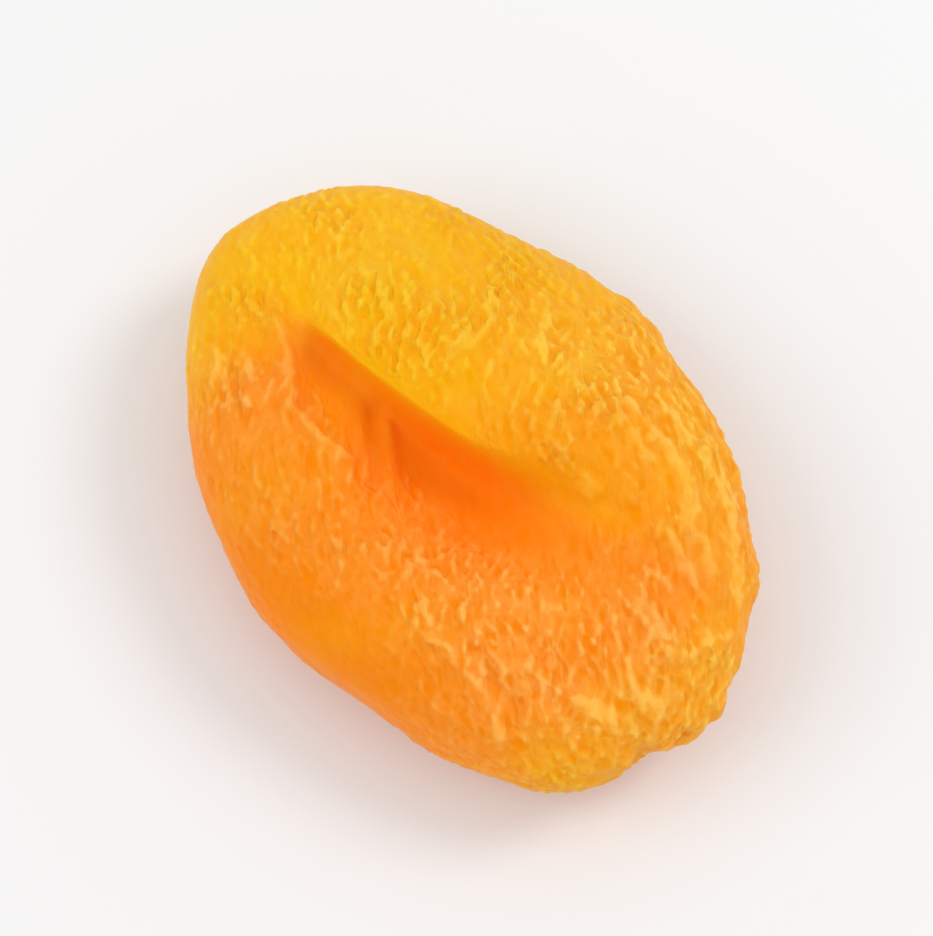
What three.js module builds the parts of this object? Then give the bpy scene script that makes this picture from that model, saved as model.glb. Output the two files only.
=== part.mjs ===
// A whole dried apricot, pitted and pressed flat, lying on its back with the furrow up.
// It is one piece of fruit: a flattened oval cushion whose upper face has sunk in beside a lip where
// the stone was squeezed out, in skin that has wrinkled as the flesh shrank under it.
//
// Millimetres, +Z up. +X runs to the puckered stem end, +Y to the plump lobe above the furrow.
// The skin is laid on a sphere of triangles: each direction of the sphere is carried to the smooth
// body, then into the furrow, then out along its normal by the wrinkles.

import * as THREE from "three";
import { mergeVertices } from "three/addons/utils/BufferGeometryUtils.js";

// Driving sizes of the smooth body.
const LENGTH = 41.5; // stem end to blossom end
const WIDTH = 28.8;
const CROWN_RISE = 6.0; // smooth upper face above the rim's middle, before the furrow
const BELLY_DROP = 5.9; // underside below the rim's middle
const PLUMPNESS = 0.86; // 1 gives an ellipse in section, less a fuller rim
const REST_CUT = 0.3; // how much of the belly has pressed flat where it lies

// Swellings and notches of the rim: [angle from +X, height, half width], in degrees and millimetres.
const RIM_SWELLINGS = [
  [-3, -0.7, 6],
  [-16, 0.1, 9],
  [52, 0.4, 25],
  [103, 0.6, 20],
  [141, -1.05, 19],
  [174, -0.25, 9],
  [193, 0.9, 14],
  [-124, 0.25, 12],
  [-92, 0.3, 18],
  [-50, -0.7, 20],
];

// Rise and fall of the rim's middle round the fruit: [waves, height, phase in degrees].
const RIM_WAVES = [
  [2, 0.7, 35],
  [3, 0.35, 140],
  [5, 0.16, 20],
];

// The furrow. Its lip is a shallow arc, turned from the long axis, that bulges towards the hollow.
const LIP_TURN = 21; // degrees from +X
const LIP_OFFSET = -0.1;
const LIP_BOW = 0.0085; // per millimetre, of the squared distance along the lip
const LIP_START = -15.5; // along the lip, towards the blossom end
const LIP_END = 15;
const HOLLOW_DEPTH = 3.6;
const SHELF_SHARE = 0.34; // of the depth, over the shallow shelf at the blossom end
const HOLLOW_REACH = 11.5; // from the lip to where the far bank levels out
const FLOOR_WIDTH = 5.0; // of the smooth skin beside the lip, where the hollow is widest
const FLOOR_SHARE = 0.12; // of the depth, taken by the step from the floor to the bank
const LOBE_RISE = 1.5;
const LOBE_CREST = 3.8; // from the lip
const OVERHANG = 0.45; // of the lip over the hollow
const WALL_GATHER = 0.82; // share of the skin's width that is taken up where it turns down
const WALL_SPREAD = 4.4;
const WALL_TOP = -1.1; // across the lip, where the skin starts to turn down
const WALL_FOOT = 2.8; // and where it reaches the floor

// Wrinkles, coarse then fine: mean spacing, height, length in spacings, how many patches of parallel
// ridges cover the skin, how far their run strays from the stem-to-blossom lines in degrees, and
// sharpness, which leaves narrower ridges between wider valleys.
const WRINKLES = [
  { spacing: 8, height: 0.18, length: 1.0, patches: 160, stray: 75, sharpness: 1 },
  { spacing: 3.7, height: 0.17, length: 1.3, patches: 600, stray: 45, sharpness: 1.4 },
  { spacing: 2.2, height: 0.15, length: 1.7, patches: 1700, stray: 35, sharpness: 1.6 },
];
const SPACING_SPREAD = 0.3; // how far one patch's spacing may differ from the mean, as a share

// Long folds of the upper face, with the creases between them: the [x, y] that each runs through.
const FOLDS = [
  { height: 0.4, halfWidth: 0.6, route: [[-12.8, -5.0], [-9.2, -5.9], [-8.1, -7.2], [-3.4, -6.2]] },
  { height: 0.2, halfWidth: 0.6, route: [[-12.2, -7.7], [-9.6, -8.4]] },
  { height: -0.3, halfWidth: 0.55, route: [[-5.1, -3.0], [-3.3, -4.0], [-1.3, -5.2]] },
  { height: 0.35, halfWidth: 0.55, route: [[-4.1, -2.8], [-2.9, -3.5], [-1.0, -4.5]] },
  { height: 0.25, halfWidth: 0.6, route: [[6.8, -7.7], [8.4, -8.0], [10.5, -7.5], [15.2, -7.8]] },
  { height: -0.25, halfWidth: 0.6, route: [[8.0, -7.1], [10.5, -6.6], [14.4, -6.3]] },
  { height: 0.2, halfWidth: 0.8, route: [[4.4, -6.6], [8.2, -6.0], [11.3, -5.5], [16.5, -5.4]] },
  { height: 0.3, halfWidth: 0.6, route: [[13.0, -4.3], [15.7, -3.7], [18.2, -2.4]] },
  { height: -0.25, halfWidth: 0.5, route: [[12.4, -3.5], [15.3, -2.9]] },
  { height: 0.25, halfWidth: 0.6, route: [[13.6, -0.8], [19.0, 0.0]] },
  { height: 0.25, halfWidth: 0.6, route: [[13.2, 2.3], [18.4, 2.9]] },
  { height: 0.25, halfWidth: 0.7, route: [[4.6, 10.0], [10.8, 9.0], [15.6, 7.1]] },
  { height: 0.25, halfWidth: 0.6, route: [[11.0, 6.3], [12.7, 6.5], [14.2, 6.1]] },
  { height: 0.2, halfWidth: 0.6, route: [[4.3, 4.0], [5.4, 4.0], [6.8, 4.5]] },
  { height: 0.3, halfWidth: 0.7, route: [[16.6, 2.4], [17.5, 4.0], [17.4, 6.3]] },
];

// Knobs of the puckered stem scar: [x, y, z, height, radius].
const SCAR_KNOBS = [
  [19.6, 0.3, 0.8, 0.65, 0.9],
  [19.8, 1.9, 1.7, 0.5, 0.8],
  [20.2, 3.5, 0.9, 0.45, 0.9],
  [20.4, 2.2, -0.4, 0.4, 1.0],
  [20.0, -1.2, 0.2, -0.5, 0.8],
  [20.4, 1.2, 0.6, -0.5, 0.6],
];

const EDGE_CUTS = 24; // pieces that each edge of the icosahedron is cut into
const SECTION_STEPS = 240;
const SEED = 20260;

const { clamp, degToRad, euclideanModulo, lerp, radToDeg, smoothstep } = THREE.MathUtils;
const bell = (x, width) => Math.exp(-((x / width) ** 2));

// Random numbers from 0 to 1, the same ones on every run.
let seed = SEED;
function draw() {
  seed = (Math.imul(1664525, seed) + 1013904223) >>> 0;
  return seed / 4294967296;
}

// The smooth section from the middle of the crown round the rim to the middle of the belly, as
// [reach from 0 to 1, height], in even steps along its length.
function makeSection() {
  const fine = [];
  const meanRadius = (LENGTH + WIDTH) / 4;
  let run = 0;
  for (let i = 0; i <= SECTION_STEPS * 8; i++) {
    const angle = (Math.PI * i) / (SECTION_STEPS * 8);
    const rise = Math.sign(Math.cos(angle)) * Math.abs(Math.cos(angle)) ** PLUMPNESS;
    const height = rise * (rise > 0 ? CROWN_RISE : BELLY_DROP);
    const reach = Math.abs(Math.sin(angle)) ** PLUMPNESS;
    const last = fine[fine.length - 1];
    if (last) run += Math.hypot((reach - last.reach) * meanRadius, height - last.height);
    fine.push({ reach, height, run });
  }
  const even = [];
  let at = 0;
  for (let i = 0; i <= SECTION_STEPS; i++) {
    const wanted = (run * i) / SECTION_STEPS;
    while (at < fine.length - 2 && fine[at + 1].run < wanted) at++;
    const [a, b] = [fine[at], fine[at + 1]];
    const share = clamp((wanted - a.run) / (b.run - a.run), 0, 1);
    even.push([lerp(a.reach, b.reach, share), lerp(a.height, b.height, share)]);
  }
  return even;
}
const section = makeSection();

function sectionAt(share) {
  const place = share * SECTION_STEPS;
  const at = Math.min(Math.floor(place), SECTION_STEPS - 1);
  const [a, b] = [section[at], section[at + 1]];
  return [lerp(a[0], b[0], place - at), lerp(a[1], b[1], place - at)];
}

function angleBetween(a, b) {
  return euclideanModulo(a - b + 180, 360) - 180;
}

// The point of the smooth body that a direction of the sphere is carried to, and how far that is down
// the section, from 0 at the crown to 1 at the belly.
function smoothBody(direction) {
  const down = Math.acos(clamp(direction.z, -1, 1)) / Math.PI;
  const [reach, height] = sectionAt(down);
  const turn = Math.atan2(direction.y, direction.x);
  const x = (LENGTH / 2) * Math.cos(turn);
  const y = (WIDTH / 2) * Math.sin(turn);
  const degrees = radToDeg(Math.atan2(y, x));
  let swelling = 0;
  for (const [angle, rise, halfWidth] of RIM_SWELLINGS)
    swelling += rise * bell(angleBetween(degrees, angle), halfWidth);
  let lift = 0;
  for (const [waves, rise, phase] of RIM_WAVES)
    lift += rise * Math.cos(degToRad(waves * degrees - phase));
  const out = reach * (1 + (reach ** 3 * swelling) / Math.hypot(x, y));
  return { point: new THREE.Vector3(x * out, y * out, height + lift * reach ** 2), down };
}

// Where a point lies from the furrow's lip: along it, and across it, positive into the hollow.
const lipAlong = new THREE.Vector2(1, 0).rotateAround(new THREE.Vector2(), degToRad(LIP_TURN));
const lipAcross = new THREE.Vector2(lipAlong.y, -lipAlong.x);
function fromLip(point) {
  const along = point.x * lipAlong.x + point.y * lipAlong.y;
  const across = point.x * lipAcross.x + point.y * lipAcross.y;
  return [along, across - LIP_OFFSET + LIP_BOW * along ** 2];
}

// Carries a point of the smooth body into the furrow, or up onto the lobe beside it.
function intoFurrow({ point, down }) {
  const upper = 1 - smoothstep(down, 0.28, 0.5);
  const [along, across] = fromLip(point);
  const fold = upper * smoothstep(along, LIP_START, -10) * (1 - smoothstep(along, -1, LIP_END - 2));
  const dip = upper * smoothstep(along, LIP_START + 1, -9) * (1 - smoothstep(along, 1, LIP_END + 3));

  // The skin gathers where it turns down, and leans out over the hollow.
  const gathered = across * (1 - WALL_GATHER * fold * bell(across, WALL_SPREAD));
  const lean = OVERHANG * fold * bell(across + 1.2, 1.9);

  const wall = smoothstep(across, lerp(-6, WALL_TOP, fold), lerp(6, WALL_FOOT, fold));
  const floorEdge = FLOOR_WIDTH * lerp(0.2, 1, smoothstep(along, LIP_START - 1, -8));
  const floor = 1 - smoothstep(gathered, floorEdge - 0.9, floorEdge + 0.9);
  const reach = HOLLOW_REACH * lerp(0.55, 1, smoothstep(along, -13, 3));
  const bank = 1 - smoothstep(gathered, 0.25 * floorEdge, reach);
  const fade = 1 - 0.5 * smoothstep(along, 1, 10);
  const depth = HOLLOW_DEPTH * lerp(SHELF_SHARE, 1, smoothstep(along, -8, -1)) * fade;
  const sink = depth * dip * wall * lerp(bank, floor, FLOOR_SHARE);
  const lobe = LOBE_RISE * dip * (1 - wall) * bell(gathered + LOBE_CREST, 4.0);

  const shift = gathered + lean - across;
  return new THREE.Vector3(
    point.x + shift * lipAcross.x,
    point.y + shift * lipAcross.y,
    point.z - sink + lobe,
  );
}

// How strongly the skin wrinkles at a point of the smooth body: hardly at all where it is stretched
// over the lip and the floor of the hollow or pressed flat below, and little round the rim but for
// the stem side.
function wrinkling({ point, down }) {
  const [along, across] = fromLip(point);
  const upper = 1 - smoothstep(down, 0.35, 0.6);
  const beside = smoothstep(along, -15, -10) * (1 - smoothstep(along, 3, 12));
  const stretched = upper * beside * smoothstep(across, -4, -1.5) * (1 - smoothstep(across, 3, 6));
  const plumpEnd = upper * (1 - smoothstep(point.x, -12, 0));
  const bank = upper * smoothstep(across, 3, 6);
  const pressed = smoothstep(down, 0.88, 0.96);
  const rim = bell(down - 0.47, 0.17) * (1 - smoothstep(point.x + 0.75 * point.y, 1, 8));
  const stemBank = bank * smoothstep(point.x, 9, 17);
  const calm = (1 - 0.9 * stretched) * (1 - 0.5 * plumpEnd) * (1 - 0.8 * pressed);
  return calm * (1 - 0.45 * bank) * (1 - 0.65 * rim) * (1 - 0.4 * stemBank);
}

// Patches of parallel ridges spread evenly over the smooth body. They run from the stem end to the
// blossom end, as the skin's own lines do, and stray from that by chance.
function makePatches({ patches, stray }) {
  const stem = new THREE.Vector3(LENGTH / 2, 1, 0);
  const made = [];
  for (let i = 0; i < patches; i++) {
    const z = 1 - (2 * (i + 0.2 + 0.6 * draw())) / patches;
    const turn = Math.PI * (3 - Math.sqrt(5)) * (i + 0.4 * draw());
    const flat = Math.sqrt(1 - z * z);
    const { point } = smoothBody(new THREE.Vector3(flat * Math.cos(turn), flat * Math.sin(turn), z));
    const normal = new THREE.Vector3(
      point.x / LENGTH ** 2,
      point.y / WIDTH ** 2,
      point.z / (2 * CROWN_RISE) ** 2,
    ).normalize();
    const run = stem.clone().sub(point).projectOnPlane(normal).normalize();
    run.applyAxisAngle(normal, degToRad(stray * (2 * draw() - 1)));
    const side = new THREE.Vector3().crossVectors(normal, run);
    const phase = 2 * Math.PI * draw();
    made.push({ point, run, side, phase, stretch: 1 + SPACING_SPREAD * (2 * draw() - 1) });
  }
  return made;
}

// The height of one layer of wrinkles over the smooth body, for a height of 1. The patches' waves
// add up to one wave that branches where they disagree, and that rises only in narrow crests.
function ridgeAt(point, { patches, spacing, length, sharpness }) {
  let cosine = 0;
  let sine = 0;
  let power = 1e-6;
  const away = new THREE.Vector3();
  for (const { point: centre, run, side, phase, stretch } of patches) {
    away.subVectors(point, centre);
    const along = away.dot(run) / (spacing * length);
    const across = away.dot(side) / (spacing * 0.8);
    const off = away.lengthSq() / spacing ** 2;
    const weight = Math.exp(-(along ** 2) - across ** 2 - Math.max(0, off - 4 * length ** 2));
    if (weight < 1e-4) continue;
    const angle = (2 * Math.PI * away.dot(side)) / (spacing * stretch) + phase;
    cosine += weight * Math.cos(angle);
    sine += weight * Math.sin(angle);
    power += weight * weight;
  }
  const size = Math.hypot(cosine, sine);
  const crest = (0.5 + (0.5 * cosine) / size) ** sharpness;
  return crest * Math.min(size / Math.sqrt(power), 1.3) - 0.3;
}

// How high a fold stands at a place of the upper face, by how near its route passes, seen from above.
function foldAt(place, { height, halfWidth, route }) {
  let nearest = Infinity;
  for (let i = 1; i < route.length; i++) {
    const start = new THREE.Vector2(...route[i - 1]);
    const run = new THREE.Vector2(...route[i]).sub(start);
    const away = new THREE.Vector2(place.x, place.y).sub(start);
    const share = clamp(away.dot(run) / run.lengthSq(), 0, 1);
    nearest = Math.min(nearest, away.addScaledVector(run, -share).length());
  }
  return height * bell(nearest, halfWidth);
}

function makeSkin() {
  const sphere = new THREE.IcosahedronGeometry(1, EDGE_CUTS - 1);
  sphere.deleteAttribute("normal");
  sphere.deleteAttribute("uv");
  const skin = mergeVertices(sphere, 1e-5);
  const places = skin.getAttribute("position");
  const bodies = [];
  for (let i = 0; i < places.count; i++) {
    bodies.push(smoothBody(new THREE.Vector3().fromBufferAttribute(places, i).normalize()));
    places.setXYZ(i, ...intoFurrow(bodies[i]));
  }
  skin.computeVertexNormals();
  wrinkle(skin, bodies);
  return skin;
}

function wrinkle(skin, bodies) {
  const layers = WRINKLES.map((layer) => ({ ...layer, patches: makePatches(layer) }));
  const places = skin.getAttribute("position");
  const normals = skin.getAttribute("normal");
  const place = new THREE.Vector3();
  const normal = new THREE.Vector3();
  for (let i = 0; i < places.count; i++) {
    let height = 0;
    for (const layer of layers) height += layer.height * ridgeAt(bodies[i].point, layer);
    height *= wrinkling(bodies[i]);
    place.fromBufferAttribute(places, i);
    if (bodies[i].down < 0.5) for (const fold of FOLDS) height += foldAt(place, fold);
    for (const [x, y, z, rise, radius] of SCAR_KNOBS)
      height += rise * bell(place.distanceTo(new THREE.Vector3(x, y, z)), radius);
    normal.fromBufferAttribute(normals, i);
    places.setXYZ(i, ...place.addScaledVector(normal, height));
  }
}

// Presses the lowest skin flat, and stands the fruit on it with the middle of its box over the origin.
function lay(skin) {
  const places = skin.getAttribute("position");
  skin.computeBoundingBox();
  const floor = skin.boundingBox.min.z + REST_CUT;
  for (let i = 0; i < places.count; i++) places.setZ(i, Math.max(places.getZ(i), floor));
  skin.computeBoundingBox();
  const middle = skin.boundingBox.getCenter(new THREE.Vector3());
  skin.translate(-middle.x, -middle.y, -floor);
  skin.computeVertexNormals();
  return skin;
}

const fruit = new THREE.Mesh(
  lay(makeSkin()),
  new THREE.MeshStandardMaterial({ color: 0xf7951c, roughness: 0.45, metalness: 0 }),
);
fruit.name = "apricot";

const apricot = new THREE.Group();
apricot.add(fruit);
export default apricot;
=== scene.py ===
# A whole dried apricot, pitted and pressed flat, lying with its furrow up: its fine wrinkled skin,
# the skin's material, and a plain pale studio round it. The form is worked out as it is for the CAD
# solid, on a finer mesh and with finer wrinkles. Lengths are in millimetres up to build_mesh.
import math

import bmesh
import bpy
import numpy as np
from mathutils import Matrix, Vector


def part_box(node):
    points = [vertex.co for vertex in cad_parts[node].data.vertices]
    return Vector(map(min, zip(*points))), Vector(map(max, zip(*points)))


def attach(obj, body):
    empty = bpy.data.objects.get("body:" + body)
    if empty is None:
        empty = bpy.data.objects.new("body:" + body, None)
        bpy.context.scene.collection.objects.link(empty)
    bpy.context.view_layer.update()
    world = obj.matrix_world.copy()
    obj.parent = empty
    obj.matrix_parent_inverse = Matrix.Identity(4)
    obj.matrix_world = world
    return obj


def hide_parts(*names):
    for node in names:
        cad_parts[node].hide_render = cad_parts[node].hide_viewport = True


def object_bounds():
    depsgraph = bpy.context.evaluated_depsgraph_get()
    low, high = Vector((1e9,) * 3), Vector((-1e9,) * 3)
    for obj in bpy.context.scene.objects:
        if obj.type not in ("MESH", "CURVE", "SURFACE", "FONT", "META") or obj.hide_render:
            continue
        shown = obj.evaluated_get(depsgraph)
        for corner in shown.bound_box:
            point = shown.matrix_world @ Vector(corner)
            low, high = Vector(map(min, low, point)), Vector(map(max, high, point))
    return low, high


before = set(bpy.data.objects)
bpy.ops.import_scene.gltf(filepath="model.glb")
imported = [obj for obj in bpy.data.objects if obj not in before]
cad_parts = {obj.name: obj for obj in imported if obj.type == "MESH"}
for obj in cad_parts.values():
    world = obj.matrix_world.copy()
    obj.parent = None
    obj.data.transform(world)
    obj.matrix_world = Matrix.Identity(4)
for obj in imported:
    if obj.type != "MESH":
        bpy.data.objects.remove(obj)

cad_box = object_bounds()
MM = 0.001

# The smooth body, as in the CAD solid.
LENGTH = 41.5
WIDTH = 28.8
CROWN_RISE = 6.0
BELLY_DROP = 5.9
PLUMPNESS = 0.86
RIM_SWELLINGS = [
    (-3, -0.7, 6),
    (-16, 0.1, 9),
    (52, 0.4, 25),
    (103, 0.6, 20),
    (141, -1.05, 19),
    (174, -0.25, 9),
    (193, 0.9, 14),
    (-124, 0.25, 12),
    (-92, 0.3, 18),
    (-50, -0.7, 20),
]  # angle from +X, height, half width
RIM_WAVES = [(2, 0.7, 35), (3, 0.35, 140), (5, 0.16, 20)]  # waves, height, phase

# The furrow, as in the CAD solid.
LIP_TURN = 21
LIP_OFFSET = -0.1
LIP_BOW = 0.0085
LIP_START = -15.5
LIP_END = 15
HOLLOW_DEPTH = 3.6
SHELF_SHARE = 0.34
HOLLOW_REACH = 11.5
FLOOR_WIDTH = 5.0
FLOOR_SHARE = 0.12
LOBE_RISE = 1.5
LOBE_CREST = 3.8
OVERHANG = 0.45
WALL_GATHER = 0.82
WALL_SPREAD = 4.4
WALL_TOP = -1.1
WALL_FOOT = 2.8

# The CAD solid's wrinkles: spacing, height, length in spacings, number of patches, stray in
# degrees, sharpness. They run to the stem end.
WRINKLES = [
    (8.0, 0.18, 1.0, 160, 75, 1.0),
    (3.7, 0.17, 1.3, 600, 45, 1.4),
    (2.2, 0.15, 1.7, 1700, 35, 1.6),
]
# Wrinkles too fine for it, which run one way over the whole skin, in degrees from +X.
FINE_WRINKLES = [
    (1.15, 0.065, 2.0, 5200, 35, 1.8),
    (0.76, 0.09, 1.8, 12000, 50, 1.6),
]
FINE_HEADING = -28
SPACING_SPREAD = 0.3
SEED = 20260

# Long folds and creases of the upper face: height, half width, the x and y that each runs through.
FOLDS = [
    (0.4, 0.6, [(-12.8, -5.0), (-9.2, -5.9), (-8.1, -7.2), (-3.4, -6.2)]),
    (0.2, 0.6, [(-12.2, -7.7), (-9.6, -8.4)]),
    (-0.3, 0.55, [(-5.1, -3.0), (-3.3, -4.0), (-1.3, -5.2)]),
    (0.35, 0.55, [(-4.1, -2.8), (-2.9, -3.5), (-1.0, -4.5)]),
    (0.25, 0.6, [(6.8, -7.7), (8.4, -8.0), (10.5, -7.5), (15.2, -7.8)]),
    (-0.25, 0.6, [(8.0, -7.1), (10.5, -6.6), (14.4, -6.3)]),
    (0.2, 0.8, [(4.4, -6.6), (8.2, -6.0), (11.3, -5.5), (16.5, -5.4)]),
    (0.3, 0.6, [(13.0, -4.3), (15.7, -3.7), (18.2, -2.4)]),
    (-0.25, 0.5, [(12.4, -3.5), (15.3, -2.9)]),
    (0.25, 0.6, [(13.6, -0.8), (19.0, 0.0)]),
    (0.25, 0.6, [(13.2, 2.3), (18.4, 2.9)]),
    (0.25, 0.7, [(4.6, 10.0), (10.8, 9.0), (15.6, 7.1)]),
    (0.25, 0.6, [(11.0, 6.3), (12.7, 6.5), (14.2, 6.1)]),
    (0.2, 0.6, [(4.3, 4.0), (5.4, 4.0), (6.8, 4.5)]),
    (0.3, 0.7, [(16.6, 2.4), (17.5, 4.0), (17.4, 6.3)]),
]

# Short pale strokes of the lobe and the bank, too thin for the CAD solid, in the same numbers. They
# waver, and rise and fall, with the wrinkles that they cross.
WAVER = 0.5
STROKES = [
    (0.2, 0.28, [(-6.8, 6.6), (-5.4, 5.3), (-4.2, 2.5)]),
    (0.2, 0.28, [(-5.9, 3.9), (-3.7, 2.2)]),
    (0.2, 0.26, [(-2.8, 3.6), (-0.8, 2.1)]),
    (0.2, 0.26, [(-1.6, 5.2), (0.5, 3.5)]),
    (0.18, 0.3, [(-4.4, 8.7), (-2.4, 6.6)]),
    (0.16, 0.3, [(-6.9, 10.4), (-4.9, 11.2)]),
    (0.14, 0.35, [(-19.2, -2.8), (-16.7, -4.1)]),
    (0.12, 0.3, [(-15.6, 1.5), (-14.1, 0.7)]),
    (0.12, 0.3, [(-11.4, -1.9), (-9.0, -2.5)]),
    (0.12, 0.3, [(-11.8, 1.1), (-9.7, 0.9), (-7.6, -0.7)]),
    (0.2, 0.3, [(-12.2, -7.5), (-9.6, -8.2)]),
    (0.16, 0.3, [(-13.6, -8.4), (-10.8, -9.9)]),
    (0.2, 0.25, [(-12.8, -4.9), (-9.2, -5.8), (-8.1, -7.1), (-6.0, -7.1), (-3.4, -6.1)]),
    (0.14, 0.3, [(6.2, -8.4), (7.8, -8.7)]),
    (0.16, 0.25, [(6.9, -7.6), (8.4, -7.9), (10.5, -7.4), (13.0, -7.4), (15.2, -7.7)]),
    (0.16, 0.25, [(13.0, -4.2), (15.7, -3.6), (18.2, -2.3)]),
    (0.18, 0.3, [(1.9, 4.9), (4.2, 3.9)]),
    (0.18, 0.28, [(-4.6, 8.8), (-3.4, 7.6), (-1.6, 6.5)]),
    (0.2, 0.28, [(4.3, 4.0), (5.4, 4.0), (6.8, 4.5)]),
    (0.24, 0.34, [(4.2, 8.5), (6.8, 8.1)]),
    (0.24, 0.34, [(4.7, 11.1), (7.0, 10.9)]),
    (0.26, 0.36, [(8.0, 11.4), (10.0, 11.3), (11.8, 10.8), (16.0, 8.0)]),
    (0.26, 0.34, [(5.8, 9.4), (7.9, 9.5), (9.3, 9.2), (10.7, 8.5), (11.6, 7.6)]),
    (0.26, 0.34, [(11.2, 7.7), (12.4, 8.1), (14.3, 7.4)]),
    (0.26, 0.34, [(11.0, 6.3), (12.7, 6.5), (14.2, 6.1)]),
    (0.24, 0.34, [(12.2, 4.3), (13.5, 4.7)]),
    (0.24, 0.34, [(14.0, 2.9), (15.7, 2.7)]),
    (0.18, 0.3, [(16.6, 2.4), (17.5, 4.0), (17.4, 6.3)]),
    (0.18, 0.28, [(15.2, 0.3), (17.0, 0.1), (19.2, 0.6)]),
    (0.16, 0.28, [(16.1, -3.2), (18.9, -1.4)]),
]

# Fine ridges that fan out from one spot of the bank.
FAN_MIDDLE = (3.9, -6.6)
FAN_REACH = 2.3
FAN_RIDGES = 11

# Knobs of the puckered stem scar: x, y, z, height, radius.
SCAR_KNOBS = [
    (19.6, 0.3, 0.8, 0.65, 0.9),
    (19.8, 1.9, 1.7, 0.5, 0.8),
    (20.2, 3.5, 0.9, 0.45, 0.9),
    (20.4, 2.2, -0.4, 0.4, 1.0),
    (20.0, -1.2, 0.2, -0.5, 0.8),
    (20.4, 1.2, 0.6, -0.5, 0.6),
]

# The sphere is an icosahedron whose triangles are split in four this often, and then in nine. It is
# finer on the upper face, by drawing its points up.
SPHERE_SPLITS = 5
DRAWN_UP = 0.13
SECTION_STEPS = 240


def smoothstep(x, low, high):
    t = np.clip((x - low) / (high - low), 0, 1)
    return t * t * (3 - 2 * t)


def bell(x, width):
    return np.exp(-((x / width) ** 2))


def lerp(a, b, t):
    return a + (b - a) * t


def unit(v):
    return v / np.linalg.norm(v, axis=-1, keepdims=True)


def make_section():
    """Reach and height from the crown round the rim to the belly, in even steps of length."""
    angle = np.linspace(0, math.pi, SECTION_STEPS * 8 + 1)
    rise = np.sign(np.cos(angle)) * np.abs(np.cos(angle)) ** PLUMPNESS
    height = rise * np.where(rise > 0, CROWN_RISE, BELLY_DROP)
    reach = np.abs(np.sin(angle)) ** PLUMPNESS
    mean_radius = (LENGTH + WIDTH) / 4
    steps = np.hypot(np.diff(reach) * mean_radius, np.diff(height))
    run = np.concatenate([[0], np.cumsum(steps)])
    even = np.linspace(0, run[-1], SECTION_STEPS + 1)
    return np.interp(even, run, reach), np.interp(even, run, height)


SECTION_REACH, SECTION_HEIGHT = make_section()


def smooth_body(direction):
    """Points of the smooth body, and how far each is down the section, 0 at the crown to 1."""
    down = np.arccos(np.clip(direction[:, 2], -1, 1)) / math.pi
    places = np.arange(SECTION_STEPS + 1) / SECTION_STEPS
    reach = np.interp(down, places, SECTION_REACH)
    height = np.interp(down, places, SECTION_HEIGHT)
    turn = np.arctan2(direction[:, 1], direction[:, 0])
    x = LENGTH / 2 * np.cos(turn)
    y = WIDTH / 2 * np.sin(turn)
    degrees = np.degrees(np.arctan2(y, x))
    swelling = np.zeros_like(x)
    for angle, rise, half_width in RIM_SWELLINGS:
        swelling += rise * bell((degrees - angle + 180) % 360 - 180, half_width)
    lift = np.zeros_like(x)
    for waves, rise, phase in RIM_WAVES:
        lift += rise * np.cos(np.radians(waves * degrees - phase))
    out = reach * (1 + reach**3 * swelling / np.hypot(x, y))
    return np.stack([x * out, y * out, height + lift * reach**2], axis=1), down


LIP_ALONG = np.array([math.cos(math.radians(LIP_TURN)), math.sin(math.radians(LIP_TURN))])
LIP_ACROSS = np.array([LIP_ALONG[1], -LIP_ALONG[0]])


def from_lip(point):
    """How far points lie along the lip, and across it, positive into the hollow."""
    along = point[:, :2] @ LIP_ALONG
    return along, point[:, :2] @ LIP_ACROSS - LIP_OFFSET + LIP_BOW * along**2


def into_furrow(point, down):
    """The points carried into the furrow or onto the lobe, and how far each has sunk, 0 to 1."""
    upper = 1 - smoothstep(down, 0.28, 0.5)
    along, across = from_lip(point)
    fold = smoothstep(along, LIP_START, -10) * (1 - smoothstep(along, -1, LIP_END - 2)) * upper
    dip = smoothstep(along, LIP_START + 1, -9) * (1 - smoothstep(along, 1, LIP_END + 3)) * upper
    gathered = across * (1 - WALL_GATHER * fold * bell(across, WALL_SPREAD))
    lean = OVERHANG * fold * bell(across + 1.2, 1.9)
    wall = smoothstep(across, lerp(-6, WALL_TOP, fold), lerp(6, WALL_FOOT, fold))
    floor_edge = FLOOR_WIDTH * lerp(0.2, 1, smoothstep(along, LIP_START - 1, -8))
    floor = 1 - smoothstep(gathered, floor_edge - 0.9, floor_edge + 0.9)
    reach = HOLLOW_REACH * lerp(0.55, 1, smoothstep(along, -13, 3))
    bank = 1 - smoothstep(gathered, 0.25 * floor_edge, reach)
    depth = lerp(SHELF_SHARE, 1, smoothstep(along, -8, -1)) * (1 - 0.5 * smoothstep(along, 1, 10))
    sunk = depth * dip * wall * lerp(bank, floor, FLOOR_SHARE)
    lobe = LOBE_RISE * dip * (1 - wall) * bell(gathered + LOBE_CREST, 4.0)
    moved = point.copy()
    moved[:, :2] += (gathered + lean - across)[:, None] * LIP_ACROSS
    moved[:, 2] += lobe - HOLLOW_DEPTH * sunk
    return moved, sunk


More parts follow.
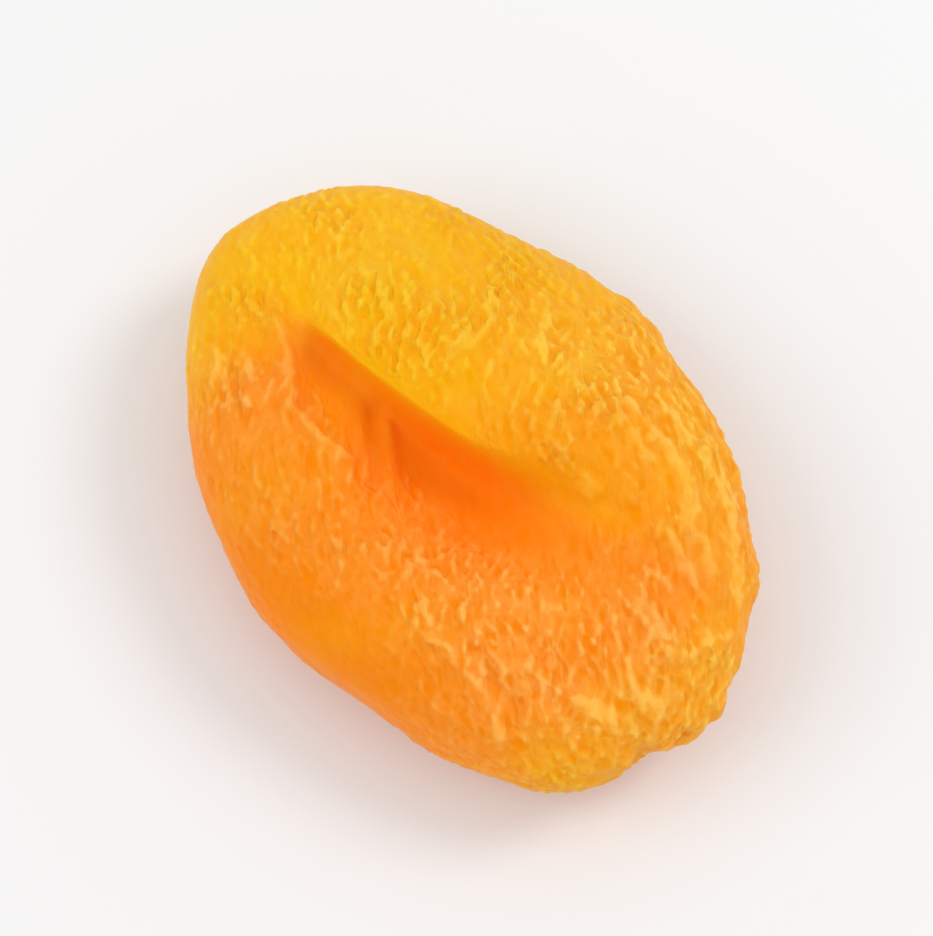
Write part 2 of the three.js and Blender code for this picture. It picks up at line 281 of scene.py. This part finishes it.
def wrinkling(point, down):
    """How strongly the skin wrinkles: least where it is stretched over the lip and the hollow."""
    along, across = from_lip(point)
    upper = 1 - smoothstep(down, 0.35, 0.6)
    beside = smoothstep(along, -15, -10) * (1 - smoothstep(along, 3, 12))
    over_lip = smoothstep(across, -4, -1.5) * (1 - smoothstep(across, 3, 6))
    stretched = upper * beside * over_lip
    plump_end = upper * (1 - smoothstep(point[:, 0], -12, 0))
    bank = upper * smoothstep(across, 3, 6)
    pressed = smoothstep(down, 0.88, 0.96)
    stem_bank = bank * smoothstep(point[:, 0], 9, 17)
    calm = (1 - 0.9 * stretched) * (1 - 0.5 * plump_end) * (1 - 0.8 * pressed)
    return calm * (1 - 0.45 * bank) * (1 - 0.65 * calm_rim(point, down)) * (1 - 0.4 * stem_bank)


def calm_rim(point, down, half_width=0.17):
    """The rim but for the stem side, where the skin lies smoother."""
    return bell(down - 0.47, half_width) * (1 - smoothstep(point[:, 0] + 0.75 * point[:, 1], 1, 8))


class Draws:
    """Random numbers from 0 to 1, the same ones as the CAD solid's on every run."""

    def __init__(self, seed):
        self.seed = seed

    def take(self, count):
        numbers = []
        for _ in range(count):
            self.seed = (1664525 * self.seed + 1013904223) % 2**32
            numbers.append(self.seed / 2**32)
        return np.array(numbers)


def make_patches(draws, patches, stray, heading=None):
    """Patches of parallel ridges: centres, directions along and across, phases, stretches."""
    drawn = draws.take(5 * patches).reshape(patches, 5)
    number = np.arange(patches)
    z = 1 - 2 * (number + 0.2 + 0.6 * drawn[:, 0]) / patches
    turn = math.pi * (3 - math.sqrt(5)) * (number + 0.4 * drawn[:, 1])
    flat = np.sqrt(1 - z * z)
    direction = np.stack([flat * np.cos(turn), flat * np.sin(turn), z], axis=1)
    point, _ = smooth_body(direction)
    normal = unit(point / np.array([LENGTH, WIDTH, 2 * CROWN_RISE]) ** 2)
    if heading is None:
        way = np.array([LENGTH / 2, 1, 0]) - point
    else:
        way = np.array([[math.cos(math.radians(heading)), math.sin(math.radians(heading)), 0]])
    run = unit(way - normal * np.sum(way * normal, axis=1, keepdims=True))
    side = np.cross(normal, run)
    turned = np.radians(stray * (2 * drawn[:, 2] - 1))[:, None]
    strayed_run = run * np.cos(turned) + side * np.sin(turned)
    strayed_side = side * np.cos(turned) - run * np.sin(turned)
    stretch = 1 + SPACING_SPREAD * (2 * drawn[:, 4] - 1)
    return point, strayed_run, strayed_side, 2 * math.pi * drawn[:, 3], stretch


def ridges(point, patches, spacing, length, sharpness):
    """The height of one layer of wrinkles at points of the smooth body, for a height of 1."""
    order = np.argsort(point[:, 0])
    sorted_points = point[order]
    cosine = np.zeros(len(point))
    sine = np.zeros(len(point))
    power = np.full(len(point), 1e-6)
    radius = spacing * math.sqrt(9.3 + 4 * length**2)
    for centre, run, side, phase, stretch in zip(*patches):
        first, last = np.searchsorted(sorted_points[:, 0], [centre[0] - radius, centre[0] + radius])
        away = sorted_points[first:last] - centre
        square = np.einsum("ij,ij->i", away, away)
        near = np.nonzero(square < radius**2)[0]
        away = away[near]
        across = away @ side
        off = np.maximum(0, square[near] / spacing**2 - 4 * length**2)
        along = away @ run / (spacing * length)
        weight = np.exp(-(along**2) - (across / (spacing * 0.8)) ** 2 - off)
        weight[weight < 1e-4] = 0
        angle = 2 * math.pi * across / (spacing * stretch) + phase
        cosine[first + near] += weight * np.cos(angle)
        sine[first + near] += weight * np.sin(angle)
        power[first + near] += weight * weight
    size = np.hypot(cosine, sine)
    crest = (0.5 + 0.5 * cosine / size) ** sharpness
    height = np.empty(len(point))
    height[order] = crest * np.minimum(size / np.sqrt(power), 1.3) - 0.3
    return height


def wrinkle_layers(point, draws, wrinkles, heading=None):
    """The height of each layer of a list of wrinkles at points of the smooth body."""
    made = []
    for spacing, rise, length, patches, stray, sharpness in wrinkles:
        placed = make_patches(draws, patches, stray, heading)
        made.append(rise * ridges(point, placed, spacing, length, sharpness))
    return made


def fan():
    """The ridges of the fan, in the same numbers as the folds and strokes."""
    made = []
    for number in range(FAN_RIDGES):
        turn = 2 * math.pi * (number + 0.3 * math.sin(5 * number)) / FAN_RIDGES
        outward = np.array([math.cos(turn), math.sin(turn)])
        reach = FAN_REACH * (0.85 + 0.15 * math.cos(3 * number))
        made.append((0.1, 0.2, [FAN_MIDDLE + 0.4 * outward, FAN_MIDDLE + reach * outward]))
    return made


def folds(point, down, lines):
    """The height of folds at places of the upper face, by how near their routes pass from above."""
    height = np.zeros(len(point))
    for rise, half_width, route in lines:
        nearest = np.full(len(point), np.inf)
        for start, end in zip(route, route[1:]):
            run = np.subtract(end, start)
            away = point - start
            share = np.clip(away @ run / (run @ run), 0, 1)
            nearest = np.minimum(nearest, np.linalg.norm(away - share[:, None] * run, axis=1))
        height += rise * bell(nearest, half_width)
    return np.where(down > 0.5, 0, height)


def make_sphere():
    """Unit directions and triangles of the sphere."""
    mesh = bmesh.new()
    bmesh.ops.create_icosphere(mesh, subdivisions=SPHERE_SPLITS + 1, radius=1)
    bmesh.ops.subdivide_edges(mesh, edges=mesh.edges[:], cuts=2, use_grid_fill=True)
    bmesh.ops.triangulate(mesh, faces=mesh.faces[:])
    mesh.verts.index_update()
    even = unit(np.array([v.co[:] for v in mesh.verts]))
    triangles = np.array([[v.index for v in f.verts] for f in mesh.faces])
    mesh.free()
    down = np.arccos(np.clip(even[:, 2], -1, 1))
    turn = np.arctan2(even[:, 1], even[:, 0])
    drawn = down - DRAWN_UP * math.pi * np.sin(down)
    flat = np.sin(drawn)
    return np.stack([flat * np.cos(turn), flat * np.sin(turn), np.cos(drawn)], axis=1), triangles


def vertex_normals(point, triangles):
    a, b, c = (point[triangles[:, k]] for k in range(3))
    face = np.cross(b - a, c - a)
    normals = np.zeros_like(point)
    for k in range(3):
        for axis in range(3):
            column = triangles[:, k]
            normals[:, axis] += np.bincount(column, face[:, axis], minlength=len(point))
    return unit(normals)


def make_skin():
    """The skin's points and triangles, in the CAD solid's place, and its shading values."""
    directions, triangles = make_sphere()
    body, down = smooth_body(directions)
    placed, sunk = into_furrow(body, down)
    normals = vertex_normals(placed, triangles)
    strength = wrinkling(body, down)
    draws = Draws(SEED)
    shared = wrinkle_layers(body, draws, WRINKLES)
    finer = wrinkle_layers(body, draws, FINE_WRINKLES, FINE_HEADING)
    coarse = strength * sum(shared) + folds(placed[:, :2], down, FOLDS)
    waver = WAVER * np.stack(shared[1:], axis=1) / WRINKLES[1][1]
    broken = np.clip(0.65 + 9 * finer[0], 0.3, 1)
    bloom_and_highlight = bloomed_and_highlit_skin(body, down)
    patches = np.clip(0.66 + 4 * shared[0] + 2 * shared[1], 0.4, 1.3)
    grainy = fine_wrinkling(body, down) * np.maximum(patches, 0.9 * bloom_and_highlight)
    fine = grainy * sum(finer)
    fine += broken * folds(placed[:, :2] + waver, down, STROKES + fan())
    for x, y, z, rise, radius in SCAR_KNOBS:
        distance = np.linalg.norm(placed - np.array([x, y, z]), axis=1)
        coarse += rise * bell(distance, radius)
    rough = placed + normals * coarse[:, None]
    low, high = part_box("apricot")
    middle = (rough.min(axis=0) + rough.max(axis=0)) / 2
    shift = np.array([(low[k] + high[k]) / 2 / MM - middle[k] for k in range(3)])
    shift[2] = high[2] / MM - rough[:, 2].max()
    skin = rough + normals * fine[:, None] + shift
    skin[:, 2] = np.maximum(skin[:, 2], 0)
    # These values also paint light and shade: the hollow and the valleys between ridges deeper orange
    # as painted shade, the ridges and the bloom pale as painted highlight, and the lobe yellow partly
    # as painted light.
    shading = {
        "hollow": np.clip(1.2 * sunk, 0, 1),
        "golden_and_lit": golden_and_lit_skin(body, down),
        "bloom_and_highlight": bloom_and_highlight,
        "ridge": np.clip(0.35 + 6.5 * fine + 0.1 * coarse, 0, 1),
        "grainy": grainy,
    }
    return skin, triangles, shading


def fine_wrinkling(point, down):
    """Strength of the fine wrinkles: most on the bank and at the blossom end, least in the hollow."""
    along, across = from_lip(point)
    upper = 1 - smoothstep(down, 0.4, 0.55)
    lobe = upper * (1 - smoothstep(across, -2.5, -0.8))
    bank = upper * smoothstep(across, 3.4, 4.8)
    middle = upper * (1 - np.clip(lobe + bank, 0, 1))
    stem_side = smoothstep(point[:, 0], -11, 3)
    rim_side = smoothstep(-across, 3, 7)
    lobe_strength = 1.5 - 0.6 * stem_side + 0.5 * stem_side * rim_side
    bank_strength = 1.5 - 0.45 * stem_side
    middle_strength = 0.06 + 0.8 * smoothstep(along, 6, 13) + 1.5 * (1 - smoothstep(along, -15, -11))
    under = 1 - upper
    pressed = smoothstep(down, 0.9, 0.97)
    strength = lobe * lobe_strength + bank * bank_strength + middle * middle_strength
    strength += under * 0.8 * (1 - 0.8 * pressed)
    return strength * (1 - 0.55 * calm_rim(point, down, 0.09))


def golden_and_lit_skin(point, down):
    """Where the skin is yellow over the lobe, most of all at the blossom end: partly the flesh dried
    to yellow, partly painted light where the lobe faces the key.
    """
    _, across = from_lip(point)
    lobe = 1 - smoothstep(across, -0.8, 2.2)
    blossom = 1 - smoothstep(point[:, 0], -14, 8)
    left_end = 1 - smoothstep(point[:, 0], -17, -9)
    stem_end = smoothstep(point[:, 0], 13, 19)
    yellow = np.maximum(lobe * (0.36 + 0.64 * blossom), 0.95 * left_end + 0.4 * stem_end)
    return yellow * (1 - smoothstep(down, 0.5, 0.75))


def bloomed_and_highlit_skin(point, down):
    """Where the ridges are pale, on the bank, the stem side and the lobe's rim: partly a matt bloom,
    partly painted highlight.
    """
    along, across = from_lip(point)
    bank = smoothstep(across, 3.5, 6.5) * (1 - smoothstep(across, 10.5, 13))
    left_end = 1 - smoothstep(along, -13, -9)
    lobe = smoothstep(-across, 1, 3.5)
    lobe_rim = smoothstep(-across, 4, 9) * smoothstep(point[:, 0], -9, 2)
    stem_side = smoothstep(point[:, 0], 4, 14)
    bloom_and_highlight = 0.6 * bank + 0.35 * lobe + 0.8 * lobe_rim + 0.65 * stem_side + 0.4 * left_end
    bloom_and_highlight = np.clip(bloom_and_highlight, 0, 1)
    return bloom_and_highlight * (1 - smoothstep(down, 0.55, 0.75)) * (1 - 0.4 * calm_rim(point, down))


def build_mesh(name, point, triangles, shading):
    data = bpy.data.meshes.new(name)
    data.from_pydata((point * MM).tolist(), [], triangles.tolist())
    data.polygons.foreach_set("use_smooth", [True] * len(triangles))
    for key, values in shading.items():
        attribute = data.attributes.new(key, "FLOAT", "POINT")
        attribute.data.foreach_set("value", values.astype(np.float32))
    data.update()
    piece = bpy.data.objects.new(name, data)
    bpy.context.scene.collection.objects.link(piece)
    return piece


class Nodes:
    """Short ways to add and join the nodes of one material."""

    def __init__(self, name):
        self.material = bpy.data.materials.new(name)
        self.material.use_nodes = True
        self.tree = self.material.node_tree
        self.shader = self.tree.nodes["Principled BSDF"]

    def add(self, kind, **settings):
        node = self.tree.nodes.new(kind)
        for key, value in settings.items():
            setattr(node, key, value)
        return node

    def feed(self, socket, value):
        if isinstance(value, bpy.types.NodeSocket):
            self.tree.links.new(value, socket)
        else:
            socket.default_value = value

    def attribute(self, name):
        return self.add("ShaderNodeAttribute", attribute_name=name).outputs["Fac"]

    def math(self, operation, *values, clamp=False):
        node = self.add("ShaderNodeMath", operation=operation, use_clamp=clamp)
        for socket, value in zip(node.inputs, values):
            self.feed(socket, value)
        return node.outputs[0]

    def mix(self, share, first, second):
        node = self.add("ShaderNodeMix", data_type="RGBA")
        self.feed(node.inputs["Factor"], share)
        self.feed(node.inputs["A"], first)
        self.feed(node.inputs["B"], second)
        return node.outputs["Result"]

    def noise(self, scale, detail=3.0, roughness=0.5, stretch=1.0, distortion=0.0):
        """Noise drawn out along the fine wrinkles, its scale in swells a metre."""
        where = self.add("ShaderNodeMapping", vector_type="TEXTURE")
        self.feed(where.inputs["Vector"], self.add("ShaderNodeTexCoord").outputs["Object"])
        where.inputs["Rotation"].default_value = (0, 0, math.radians(FINE_HEADING))
        where.inputs["Scale"].default_value = (stretch, 1, 1)
        node = self.add("ShaderNodeTexNoise")
        node.inputs["Distortion"].default_value = distortion
        self.feed(node.inputs["Vector"], where.outputs["Vector"])
        node.inputs["Scale"].default_value = scale
        node.inputs["Detail"].default_value = detail
        node.inputs["Roughness"].default_value = roughness
        return node.outputs["Fac"]

    def lines(self, scale, thinness, stretch):
        """Thin winding ridges, 1 on their round tops and 0 away from them."""
        noise = self.noise(scale, detail=1, stretch=stretch, distortion=0.5)
        away = self.math("POWER", self.math("SUBTRACT", noise, 0.5), 2.0)
        near = self.math("MULTIPLY_ADD", away, -thinness, 1.0, clamp=True)
        return self.math("MULTIPLY", near, near)


# The skin's colours: between its ridges; then deep orange, partly the flesh's own colour in the
# hollow and partly painted shade in the hollow and the small valleys; then pale, partly bloom and
# partly painted highlight on the ridges.
ORANGE = (0.9, 0.235, 0.001, 1)
YELLOW = (0.88, 0.455, 0.0008, 1)
DEEP_ORANGE = (0.97, 0.2, 0.0008, 1)
PALE_GOLD = (1.0, 0.64, 0.04, 1)
PALE_PEACH = (1.0, 0.44, 0.09, 1)

# How far the colours mix: orange and yellow in patches, deep orange as painted shade in the small
# valleys and, partly, in the hollow, and the pale ones as painted highlight on thin lines, on the
# bloomed ridges and on all ridges.
UNEVENNESS = 0.9
HOLLOW_SHARE = 0.75
VALLEY_SHADE_SHARE = 0.3
LINE_HIGHLIGHT_SHARE = 0.9
BLOOM_HIGHLIGHT_SHARE = 0.74
RIDGE_HIGHLIGHT_SHARE = 0.12

# The skin's surface: roughness and what adds to it, a weak tinted gloss, and an inner glow whose
# reach is in millimetres for red, green and blue.
ROUGHNESS = 0.3
PATCHY_ROUGHNESS = 0.16
BLOOM_ROUGHNESS = 0.14
HOLLOW_ROUGHNESS = 0.3
GLOSS = 0.17
GLOSS_TINT = (1.0, 0.7, 0.12, 1)
GLOW = 0.2
GLOW_REACH = (1.0, 0.4, 0.12)
GRAIN_HEIGHT = 0.15
GRAIN_STRENGTH = 0.7


def skin_material():
    n = Nodes("apricot_skin")
    patchy = n.noise(170, detail=2)
    speckle = n.noise(900, detail=3, roughness=0.6)
    grain = n.noise(2300, detail=2, roughness=0.6, stretch=2.2)
    uneven = n.math("MULTIPLY_ADD", patchy, UNEVENNESS, -UNEVENNESS / 2)
    # Yellow over the lobe: partly the flesh's own colour, partly painted light where the lobe faces
    # the key.
    golden_and_lit = n.math("ADD", n.attribute("golden_and_lit"), uneven, clamp=True)
    colour = n.mix(golden_and_lit, ORANGE, YELLOW)
    # Painted shade: deep orange in the small valleys between the ridges.
    valley = n.math("SUBTRACT", 1.3, n.math("ADD", n.attribute("ridge"), grain))
    valley_shade = n.math("MULTIPLY", valley, VALLEY_SHADE_SHARE)
    # Deep orange in the hollow: partly the flesh's own colour, partly painted shade that grows as the
    # hollow sinks.
    deep_and_shade = n.math("MULTIPLY_ADD", n.attribute("hollow"), HOLLOW_SHARE, valley_shade, clamp=True)
    colour = n.mix(deep_and_shade, colour, DEEP_ORANGE)
    # Painted highlight: pale on the crests and thin lines, a little on all ridges and most where the
    # bloom is, which is partly real bloom.
    lines = n.math("MULTIPLY", n.lines(1500, 18, 3.0), speckle)
    crest = n.math("MULTIPLY_ADD", lines, LINE_HIGHLIGHT_SHARE, n.math("POWER", n.attribute("ridge"), 3.0))
    dust_and_highlight = n.math("MULTIPLY_ADD", n.attribute("bloom_and_highlight"), BLOOM_HIGHLIGHT_SHARE, RIDGE_HIGHLIGHT_SHARE)
    dusted_and_highlit = n.math("MULTIPLY", crest, dust_and_highlight)
    pale = n.math("MULTIPLY", dusted_and_highlit, n.math("ADD", speckle, 0.4), clamp=True)
    colour = n.mix(pale, colour, n.mix(golden_and_lit, PALE_PEACH, PALE_GOLD))
    n.feed(n.shader.inputs["Base Color"], colour)
    rough = n.math("MULTIPLY_ADD", patchy, PATCHY_ROUGHNESS, ROUGHNESS)
    rough = n.math("MULTIPLY_ADD", n.attribute("bloom_and_highlight"), BLOOM_ROUGHNESS, rough)
    rough = n.math("MULTIPLY_ADD", n.attribute("hollow"), HOLLOW_ROUGHNESS, rough)
    n.feed(n.shader.inputs["Roughness"], rough)
    n.shader.inputs["Subsurface Weight"].default_value = GLOW
    n.shader.inputs["Subsurface Radius"].default_value = GLOW_REACH
    n.shader.inputs["Subsurface Scale"].default_value = MM
    n.shader.inputs["Specular Tint"].default_value = GLOSS_TINT
    n.shader.inputs["Specular IOR Level"].default_value = GLOSS
    bump = n.add("ShaderNodeBump")
    bump.inputs["Strength"].default_value = GRAIN_STRENGTH
    bump.inputs["Distance"].default_value = GRAIN_HEIGHT * MM
    relief = n.math("ADD", grain, lines)
    n.feed(bump.inputs["Height"], n.math("MULTIPLY", relief, n.attribute("grainy")))
    n.feed(n.shader.inputs["Normal"], bump.outputs["Normal"])
    return n.material


points, faces, values = make_skin()
skin = build_mesh("apricot_skin", points, faces, values)
skin.data.materials.append(skin_material())
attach(skin, "root")
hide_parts("apricot")


def plain_material(name, colour, roughness):
    n = Nodes(name)
    n.shader.inputs["Base Color"].default_value = (*colour, 1)
    n.shader.inputs["Roughness"].default_value = roughness
    return n.material


# The studio: the floor's half width in metres and its tone, the world's light, and the softboxes,
# each with its name, its place in degrees round and up, its distance, its size and its power.
FLOOR_HALF = 1.5
FLOOR_TONE = (0.86, 0.86, 0.86)
WORLD_STRENGTH = 0.78
SOFTBOXES = [
    ("key", 165, 47, 0.5, 0.2, 0.62),
    ("fill", -20, 40, 0.6, 0.5, 0.85),
]


def make_floor():
    half = FLOOR_HALF
    data = bpy.data.meshes.new("floor")
    corners = [(-half, -half, 0), (half, -half, 0), (half, half, 0), (-half, half, 0)]
    data.from_pydata(corners, [], [(0, 1, 2, 3)])
    data.materials.append(plain_material("floor", FLOOR_TONE, 0.7))
    floor = bpy.data.objects.new("floor", data)
    bpy.context.scene.collection.objects.link(floor)


# The camera stands where the photograph's does: degrees round from -Y, and up from the floor.
CAMERA_TURN = 56
CAMERA_RISE = 68
CAMERA_DISTANCE = 0.185
CAMERA_LENS = 120
middle = (Vector(cad_box[0]) + Vector(cad_box[1])) / 2


def direction_from(turn, rise):
    turn = math.radians(turn)
    rise = math.radians(rise)
    across = math.cos(rise)
    return Vector((math.sin(turn) * across, -math.cos(turn) * across, math.sin(rise)))


def make_camera():
    lens = bpy.data.cameras.new("camera")
    lens.lens = CAMERA_LENS
    lens.clip_start = 0.01
    camera = bpy.data.objects.new("camera", lens)
    bpy.context.scene.collection.objects.link(camera)
    back = direction_from(CAMERA_TURN, CAMERA_RISE)
    camera.location = middle + back * CAMERA_DISTANCE
    camera.rotation_euler = (-back).to_track_quat("-Z", "Y").to_euler()
    bpy.context.scene.camera = camera


def make_softbox(name, turn, rise, distance, size, power):
    data = bpy.data.lights.new(name, "AREA")
    data.shape = "DISK"
    data.size = size
    data.energy = power
    light = bpy.data.objects.new(name, data)
    bpy.context.scene.collection.objects.link(light)
    back = direction_from(turn, rise)
    light.location = middle + back * distance
    light.rotation_euler = (-back).to_track_quat("-Z", "Y").to_euler()


def make_studio():
    make_floor()
    for softbox in SOFTBOXES:
        make_softbox(*softbox)
    world = bpy.data.worlds.new("studio")
    world.use_nodes = True
    background = world.node_tree.nodes["Background"]
    background.inputs["Color"].default_value = (1, 1, 1, 1)
    background.inputs["Strength"].default_value = WORLD_STRENGTH
    bpy.context.scene.world = world
    bpy.context.scene.view_settings.view_transform = "Standard"


make_studio()
make_camera()
